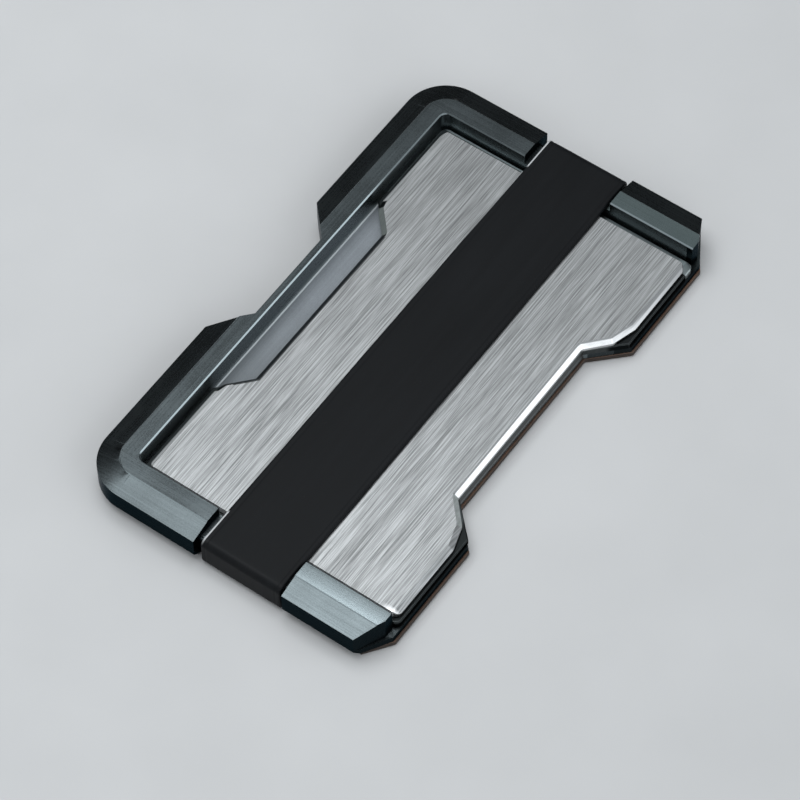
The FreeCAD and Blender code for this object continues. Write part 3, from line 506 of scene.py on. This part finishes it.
# ------------------------------------------------------------------ elastic band
def make_band():
    lo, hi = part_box("elastic_band")
    top, bot = hi.z - 0.05 * MM, lo.z
    y1 = hi.y
    thk = 1.0 * MM
    rt, rb = 1.3 * MM, 1.6 * MM
    xc, hw = (lo.x + hi.x) / 2, (hi.x - lo.x) / 2 - 0.02 * MM

    # outer contour in the YZ plane, walked once round, with its outward normal
    pts = []

    def arc(cy, cz, r, a0, a1, n):
        for i in range(n):
            a = math.radians(a0 + (a1 - a0) * i / n)
            pts.append((cy + r * math.cos(a), cz + r * math.sin(a), math.cos(a), math.sin(a)))

    def run(y0, z0, y2, z2, ny, nz, n):
        for i in range(n):
            t = i / n
            pts.append((y0 + (y2 - y0) * t, z0 + (z2 - z0) * t, ny, nz))

    run(y1 - rt, top, -(y1 - rt), top, 0, 1, 190)
    arc(-(y1 - rt), top - rt, rt, 90, 180, 14)
    run(-y1, top - rt, -y1, bot + rb, -1, 0, 8)
    arc(-(y1 - rb), bot + rb, rb, 180, 270, 12)
    run(-(y1 - rb), bot, (y1 - rb), bot, 0, -1, 120)
    arc((y1 - rb), bot + rb, rb, 270, 360, 12)
    run(y1, bot + rb, y1, top - rt, 1, 0, 8)
    arc((y1 - rt), top - rt, rt, 0, 90, 14)

    # section across the width: flat skin, rolled edges, a fine welt just inside each edge
    e = 0.34 * MM
    sec = []
    def skin(x):
        d = hw - abs(x)
        s = 0.0
        if d < 1.5 * MM:
            s -= 0.045 * MM * math.exp(-((d - 0.95 * MM) / (0.16 * MM)) ** 2)
        s += 0.02 * MM * (1 - (x / hw) ** 2)
        return s
    xs = np.concatenate([np.linspace(-hw + e, -hw + 1.6 * MM, 12), np.linspace(-hw + 1.9 * MM, hw - 1.9 * MM, 15), np.linspace(hw - 1.6 * MM, hw - e, 12)])
    for x in xs:
        sec.append((x, skin(x)))
    for i in range(1, 6):
        a = math.radians(90 - 90 * i / 6)
        sec.append((hw - e + e * math.cos(a), -e + e * math.sin(a)))
    sec.append((hw, -e))
    sec.append((hw, -thk + e * 0.6))
    for i in range(1, 4):
        a = math.radians(-90 * i / 4)
        sec.append((hw - e * 0.6 + e * 0.6 * math.cos(a), -thk + e * 0.6 + e * 0.6 * math.sin(a)))
    for x in np.linspace(hw - e * 0.6, -hw + e * 0.6, 12):
        sec.append((x, -thk))
    for i in range(1, 4):
        a = math.radians(-90 - 90 * i / 4)
        sec.append((-hw + e * 0.6 + e * 0.6 * math.cos(a), -thk + e * 0.6 + e * 0.6 * math.sin(a)))
    sec.append((-hw, -thk + e * 0.6))
    sec.append((-hw, -e))
    for i in range(1, 6):
        a = math.radians(180 - 90 * i / 6)
        sec.append((-hw + e + e * math.cos(a), -e + e * math.sin(a)))

    bm = bmesh.new()
    rings = []
    n = len(pts)
    for k, (y, z, ny, nz) in enumerate(pts):
        ring = []
        # the elastic draws in a little along the free run and spreads over the turns
        turn = abs(y) / y1
        draw = 1.0 - 0.006 * (1 - min(1.0, turn) ** 6) * (1 if nz > 0.5 else 0)
        wob = 0.012 * MM * math.sin(y * 170) + 0.008 * MM * math.sin(y * 410 + 1.3)
        for (x, h) in sec:
            hh = h
            ring.append(bm.verts.new((xc + x * draw + (wob if abs(x) > hw * 0.9 else 0), y + ny * hh, z + nz * hh)))
        rings.append(ring)
    m = len(sec)
    for k in range(n):
        a, b = rings[k], rings[(k + 1) % n]
        for j in range(m):
            f = bm.faces.new((a[j], a[(j + 1) % m], b[(j + 1) % m], b[j]))
            f.smooth = True
    bmesh.ops.recalc_face_normals(bm, faces=bm.faces)
    me = bpy.data.meshes.new("elastic_loop")
    bm.to_mesh(me)
    bm.free()
    o = bpy.data.objects.new("elastic_loop", me)
    scene.collection.objects.link(o)
    me.materials.append(mat_band)
    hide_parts("elastic_band")
    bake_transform(o)
    return o


make_band()


# ------------------------------------------------------------------ leather leaves
def outline_of(node):
    """Outer outline (list of XY) and screw hole centres of a leaf, read from its flat top face."""
    me = nodes[node].data
    top = max(v.co.z for v in me.vertices)
    key = lambda v: (round(v.co.x, 6), round(v.co.y, 6))
    count = {}
    for p in me.polygons:
        if p.normal.z > 0.99 and abs(me.vertices[p.vertices[0]].co.z - top) < 1e-5:
            vs = [key(me.vertices[i]) for i in p.vertices]
            for a, b in zip(vs, vs[1:] + vs[:1]):
                e = (a, b)
                if (b, a) in count:
                    del count[(b, a)]
                else:
                    count[e] = 1
    nxt = {a: b for a, b in count}
    loops = []
    while nxt:
        s = next(iter(nxt))
        loop = [s]
        c = nxt.pop(s)
        while c != s and c in nxt:
            loop.append(c)
            c = nxt.pop(c)
        loops.append(loop)
    def area(l):
        return 0.5 * sum(a[0] * b[1] - b[0] * a[1] for a, b in zip(l, l[1:] + l[:1]))
    loops.sort(key=lambda l: -abs(area(l)))
    holes = [(sum(p[0] for p in l) / len(l), sum(p[1] for p in l) / len(l)) for l in loops[1:]]
    outer = loops[0] if area(loops[0]) > 0 else loops[0][::-1]
    return outer, holes


def resample(loop, step):
    out = []
    for a, b in zip(loop, loop[1:] + loop[:1]):
        d = math.hypot(b[0] - a[0], b[1] - a[1])
        k = max(1, int(round(d / step)))
        for i in range(k):
            out.append((a[0] + (b[0] - a[0]) * i / k, a[1] + (b[1] - a[1]) * i / k))
    return out


def seg_dist(P, loop):
    """Distance of points P (n,2) to a closed loop."""
    L = np.array(loop)
    A, B = L, np.roll(L, -1, 0)
    best = np.full(len(P), 1e9)
    for a, b in zip(A, B):
        ab = b - a
        t = np.clip(((P - a) @ ab) / max(ab @ ab, 1e-18), 0, 1)
        best = np.minimum(best, np.hypot(*(P - a - t[:, None] * ab).T))
    return best


def inside(P, loop):
    L = np.array(loop)
    A, B = L, np.roll(L, -1, 0)
    c = np.zeros(len(P), bool)
    for a, b in zip(A, B):
        cond = (a[1] > P[:, 1]) != (b[1] > P[:, 1])
        with np.errstate(divide="ignore", invalid="ignore"):
            xi = (b[0] - a[0]) * (P[:, 1] - a[1]) / (b[1] - a[1]) + a[0]
        c ^= cond & (P[:, 0] < xi)
    return c


def inset(loop, d):
    """Loop moved inwards by d along its corner bisectors (for small d)."""
    L = np.array(loop)
    prev, nxt = np.roll(L, 1, 0), np.roll(L, -1, 0)
    def nrm(v):
        return v / np.maximum(np.linalg.norm(v, axis=1, keepdims=True), 1e-12)
    e1, e2 = nrm(L - prev), nrm(nxt - L)
    n1 = np.stack([-e1[:, 1], e1[:, 0]], 1)
    n2 = np.stack([-e2[:, 1], e2[:, 0]], 1)
    b = n1 + n2
    b = b / np.maximum((b * n1).sum(1, keepdims=True), 0.35)
    return [tuple(p) for p in L + b * d]


def make_leaf(node, name, seed):
    from mathutils.geometry import delaunay_2d_cdt
    lo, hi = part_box(node)
    outer, holes = outline_of(node)
    thk = hi.z - lo.z
    base = resample(outer, 0.7 * MM)
    R = 0.42 * MM                        # worn lower edge
    ins = [0.03, 0.10, 0.2, 0.34, 0.5, 0.9, 1.25, 1.45, 1.6, 1.75, 1.95, 2.4]
    loops = [base] + [inset(base, d * MM) for d in ins]
    pts, edges = [], []

    def add_loop(l):
        s = len(pts)
        pts.extend(l)
        for i in range(len(l)):
            edges.append((s + i, s + (i + 1) % len(l)))

    add_loop(loops[0])
    for l in loops[1:]:
        pts.extend(l)
    hr = 2.5 * MM
    for (cx, cy) in holes:
        for r in (hr, hr + 0.12 * MM, hr + 0.3 * MM, hr + 0.6 * MM):
            ring = [(cx + r * math.cos(2 * math.pi * i / 40), cy + r * math.sin(2 * math.pi * i / 40)) for i in range(40)]
            if r == hr:
                add_loop(ring)
            else:
                pts.extend(ring)
    g = 0.9 * MM
    gx = np.arange(lo.x, hi.x, g)
    gy = np.arange(lo.y, hi.y, g)
    G = np.array([(x + (g / 2 if j % 2 else 0), y) for j, y in enumerate(gy) for x in gx])
    G = G[inside(G, outer)]
    dd = seg_dist(G, outer)
    for (cx, cy) in holes:
        dd = np.where(np.hypot(G[:, 0] - cx, G[:, 1] - cy) < hr + 0.9 * MM, -1, dd)
    G = G[dd > 2.8 * MM]
    pts.extend([tuple(p) for p in G])
    P0 = np.array(pts)
    keep = []
    n_con = len(edges)
    vs, es, fs, *_ = delaunay_2d_cdt([Vector(p) for p in pts], edges, [], 0, 1e-7)
    P = np.array([(v.x, v.y) for v in vs])
    cen = np.array([P[list(f)].mean(0) for f in fs])
    ok = inside(cen, outer)
    for (cx, cy) in holes:
        ok &= np.hypot(cen[:, 0] - cx, cen[:, 1] - cy) > hr * 0.985
    fs = [f for f, k in zip(fs, ok) if k]
    d = seg_dist(P, outer)
    r2 = np.random.default_rng(seed)
    ph = r2.uniform(0, 6.28, 6)
    und = 0.018 * MM * (np.sin(P[:, 0] * 310 + ph[0]) * np.sin(P[:, 1] * 150 + ph[1]) + 0.6 * np.sin(P[:, 0] * 700 + P[:, 1] * 480 + ph[2]))
    # lower face: flat on the table, rolled at the edge, a creased line inside it, pulled in at the screws
    z = np.full(len(P), lo.z)
    roll = np.clip((R - d) / R, 0, 1)
    z = z + R * (1 - np.sqrt(np.clip(1 - roll ** 2, 0, 1)))
    z = z + 0.16 * MM * np.exp(-((d - 1.6 * MM) / (0.17 * MM)) ** 2)
    for (cx, cy) in holes:
        q = np.hypot(P[:, 0] - cx, P[:, 1] - cy) - hr
        z = z + 0.22 * MM * np.exp(-np.clip(q, 0, None) / (0.28 * MM))
    z = z + np.clip(und, 0, None) * np.clip((d - 0.5 * MM) / MM, 0, 1)
    bm = bmesh.new()
    low = [bm.verts.new((p[0], p[1], zz)) for p, zz in zip(P, z)]
    for f in fs:
        try:
            bm.faces.new([low[i] for i in reversed(f)])
        except ValueError:
            pass
    bm.verts.ensure_lookup_table()
    bm.edges.ensure_lookup_table()
    border = [e for e in bm.edges if len(e.link_faces) == 1]
    used = set(v for e in border for v in e.verts)
    outer_edges = [e for e in border if seg_dist(np.array([[e.verts[0].co.x, e.verts[0].co.y]]), outer)[0] < 1e-6]
    hole_edges = [e for e in border if e not in set(outer_edges)]

    def wall(edge_list, levels, bulge):
        vmap = {}
        prev = {}
        for e in edge_list:
            for v in e.verts:
                prev[v] = v
        base_xy = {v: v.co.copy() for v in prev}
        edges_now = [(e.verts[0], e.verts[1]) for e in edge_list]
        cur = {v: v for v in prev}
        for zz, b in levels:
            new = {}
            for v in prev:
                c = base_xy[v]
                dx, dy = bulge(v, c)
                new[v] = bm.verts.new((c.x + dx * b, c.y + dy * b, zz))
            for a, b2 in edges_now:
                bm.faces.new((cur[a], cur[b2], new[b2], new[a]))
            cur = new
        return cur, edges_now

    nrm_loop = {}
    B = np.array(base)
    ins1 = np.array(inset(base, 1.0 * MM))
    dirs = (B - ins1) / np.maximum(np.linalg.norm(B - ins1, axis=1, keepdims=True), 1e-12)

    def out_dir(v, c):
        k = int(np.argmin(np.hypot(B[:, 0] - c.x, B[:, 1] - c.y)))
        return dirs[k]

    lv = [(lo.z + 0.55 * MM, 0.02 * MM), (lo.z + 0.8 * MM, 0.03 * MM), (lo.z + 1.05 * MM, 0.02 * MM), (hi.z - 0.12 * MM, 0.0), (hi.z, -0.1 * MM)]
    top_o, eo = wall(outer_edges, lv, out_dir)
    # counterbore: wall up to the shoulder, then in under the head
    cur, eh = wall(hole_edges, [(lo.z + 0.55 * MM, 0.0), (lo.z + 0.65 * MM, 0.0)], lambda v, c: (0, 0))
    inner = {}
    for v in cur:
        c = cur[v].co
        k = min(holes, key=lambda h: math.hypot(h[0] - c.x, h[1] - c.y))
        u = Vector((c.x - k[0], c.y - k[1], 0)).normalized()
        inner[v] = bm.verts.new((k[0] + u.x * 1.15 * MM, k[1] + u.y * 1.15 * MM, c.z))
    for a, b2 in eh:
        bm.faces.new((cur[a], cur[b2], inner[b2], inner[a]))
    inner2 = {v: bm.verts.new((w.co.x, w.co.y, hi.z)) for v, w in inner.items()}
    for a, b2 in eh:
        bm.faces.new((inner[a], inner[b2], inner2[b2], inner2[a]))
    # upper face: one plain sheet between the outer edge and the screw holes
    tp = []
    te = []
    idx = {}
    for a, b2 in eo:
        for v in (a, b2):
            if v not in idx:
                idx[v] = len(tp)
                tp.append(top_o[v])
        te.append((idx[a], idx[b2]))
    idx2 = {}
    for a, b2 in eh:
        for v in (a, b2):
            if v not in idx2:
                idx2[v] = len(tp)
                tp.append(inner2[v])
        te.append((idx2[a], idx2[b2]))
    v2, e2, f2, ov, *_ = delaunay_2d_cdt([Vector((v.co.x, v.co.y)) for v in tp], te, [], 0, 1e-8)
    cen = np.array([np.mean([(v2[i].x, v2[i].y) for i in f], axis=0) for f in f2])
    top_loop = [(top_o[a].co.x, top_o[a].co.y) for a, _ in eo]
    ok = inside(cen, outer)
    for (cx, cy) in holes:
        ok &= np.hypot(cen[:, 0] - cx, cen[:, 1] - cy) > 1.14 * MM
    for f, k in zip(f2, ok):
        if k:
            try:
                bm.faces.new([tp[ov[i][0]] for i in f])
            except (ValueError, IndexError):
                pass
    bmesh.ops.remove_doubles(bm, verts=bm.verts, dist=1e-7)
    bmesh.ops.recalc_face_normals(bm, faces=bm.faces)
    for f in bm.faces:
        f.smooth = True
    me = bpy.data.meshes.new(name)
    bm.to_mesh(me)
    bm.free()
    o = bpy.data.objects.new(name, me)
    scene.collection.objects.link(o)
    me.materials.append(mat_leather)
    w = o.modifiers.new("shade", "WEIGHTED_NORMAL")
    w.weight = 50
    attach(o, "tray")
    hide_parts(node)
    return o


make_leaf("backing_left", "leather_leaf_left", 3)
make_leaf("backing_right", "leather_leaf_right", 5)


# ------------------------------------------------------------------ stage, light, camera
def make_floor():
    me = bpy.data.meshes.new("floor")
    bm = bmesh.new()
    n, R = 48, 3.0
    prof = [(0, 0), (0.3, 0), (0.8, 0), (1.4, 0), (2.2, 0), (R, 0)]
    rings = []
    c = bm.verts.new((0, 0, 0))
    for r, z in prof[1:]:
        rings.append([bm.verts.new((r * math.cos(2 * math.pi * i / n), r * math.sin(2 * math.pi * i / n), z)) for i in range(n)])
    for i in range(n):
        bm.faces.new((c, rings[0][i], rings[0][(i + 1) % n]))
        for a, b in zip(rings, rings[1:]):
            bm.faces.new((a[i], b[i], b[(i + 1) % n], a[(i + 1) % n]))
    bm.to_mesh(me)
    bm.free()
    o = bpy.data.objects.new("floor", me)
    scene.collection.objects.link(o)
    me.materials.append(floor_mat("pale_floor"))
    o.location.z = -0.02 * MM


make_floor()

world = bpy.data.worlds.new("studio")
scene.world = world
world.use_nodes = True
wt = world.node_tree
for n in list(wt.nodes):
    wt.nodes.remove(n)


def wnode(kind, **kw):
    n = wt.nodes.new(kind)
    for k, v in kw.items():
        setattr(n, k, v)
    return n


def panel(direction, outer, inner, strength):
    """One soft round panel of the studio tent: full inside the inner angle, gone outside the outer one."""
    d = Vector(direction).normalized()
    dot = wnode("ShaderNodeVectorMath", operation="DOT_PRODUCT")
    wt.links.new(wdir, dot.inputs[0])
    dot.inputs[1].default_value = d
    r = wnode("ShaderNodeMapRange", interpolation_type="SMOOTHSTEP")
    wt.links.new(dot.outputs["Value"], r.inputs["Value"])
    r.inputs["From Min"].default_value = math.cos(math.radians(outer))
    r.inputs["From Max"].default_value = math.cos(math.radians(inner))
    r.inputs["To Min"].default_value = 0.0
    r.inputs["To Max"].default_value = strength
    return r.outputs["Result"]


wdir = wnode("ShaderNodeTexCoord").outputs["Generated"]
wsep = wnode("ShaderNodeSeparateXYZ")
wt.links.new(wdir, wsep.inputs[0])
amb = wnode("ShaderNodeMapRange", interpolation_type="SMOOTHSTEP")
wt.links.new(wsep.outputs[2], amb.inputs["Value"])
for k, v in (("From Min", 0.45), ("From Max", 0.95), ("To Min", 0.05), ("To Max", 0.42)):
    amb.inputs[k].default_value = v
total = amb.outputs["Result"]
for spec in (((-0.22, 0.42, 0.88), 34, 8, 0.40),       # spill of the overhead box towards the far side
             ((0.90, 0.22, 0.36), 40, 20, 1.9),        # right-hand panel
             ((0.66, -0.52, 0.54), 30, 14, 1.9),       # right-hand panel, near half
             ((-0.30, -0.86, 0.42), 32, 12, 1.1)):     # low near panel
    add = wnode("ShaderNodeMath", operation="ADD")
    wt.links.new(total, add.inputs[0])
    wt.links.new(panel(*spec), add.inputs[1])
    total = add.outputs[0]
wo = wnode("ShaderNodeOutputWorld")
wb = wnode("ShaderNodeBackground")
wb.inputs["Color"].default_value = (0.93, 0.97, 1.0, 1)
wt.links.new(total, wb.inputs["Strength"])
wt.links.new(wb.outputs[0], wo.inputs[0])

# the overhead softbox hangs close, so its reflection falls off across the object
L = bpy.data.lights.new("softbox", "AREA")
L.shape = "RECTANGLE"
L.size, L.size_y = 0.42, 0.44
L.energy = 3.1
L.color = (0.95, 0.98, 1.0)
lo_ = bpy.data.objects.new("softbox", L)
lo_.location = (-0.13, -0.05, 0.6)
scene.collection.objects.link(lo_)

# camera
f_px, az, el, roll = 3997.0, math.radians(36.04), math.radians(56.15), math.radians(-0.73)
target = Vector(((1.902 + 3.1) * MM, -8.563 * MM, 5.5 * MM))
back = Vector((math.sin(az) * math.cos(el), -math.cos(az) * math.cos(el), math.sin(el)))
fwd = -back
right = fwd.cross(Vector((0, 0, 1))).normalized()
up = right.cross(fwd)
r2 = right * math.cos(roll) + up * math.sin(roll)
u2 = -right * math.sin(roll) + up * math.cos(roll)
cam = bpy.data.cameras.new("camera")
cam.sensor_fit = "HORIZONTAL"
cam.sensor_width = 36.0
cam.lens = f_px * 36.0 / 800.0
cam.clip_start = 0.01
cam.clip_end = 20
co = bpy.data.objects.new("camera", cam)
scene.collection.objects.link(co)
co.matrix_world = Matrix(((r2.x, u2.x, back.x, 0), (r2.y, u2.y, back.y, 0), (r2.z, u2.z, back.z, 0), (0, 0, 0, 1)))
co.location = target + back * 0.6566
scene.camera = co
scene.view_settings.view_transform = "Standard"
scene.view_settings.look = "None"

bpy.context.view_layer.update()
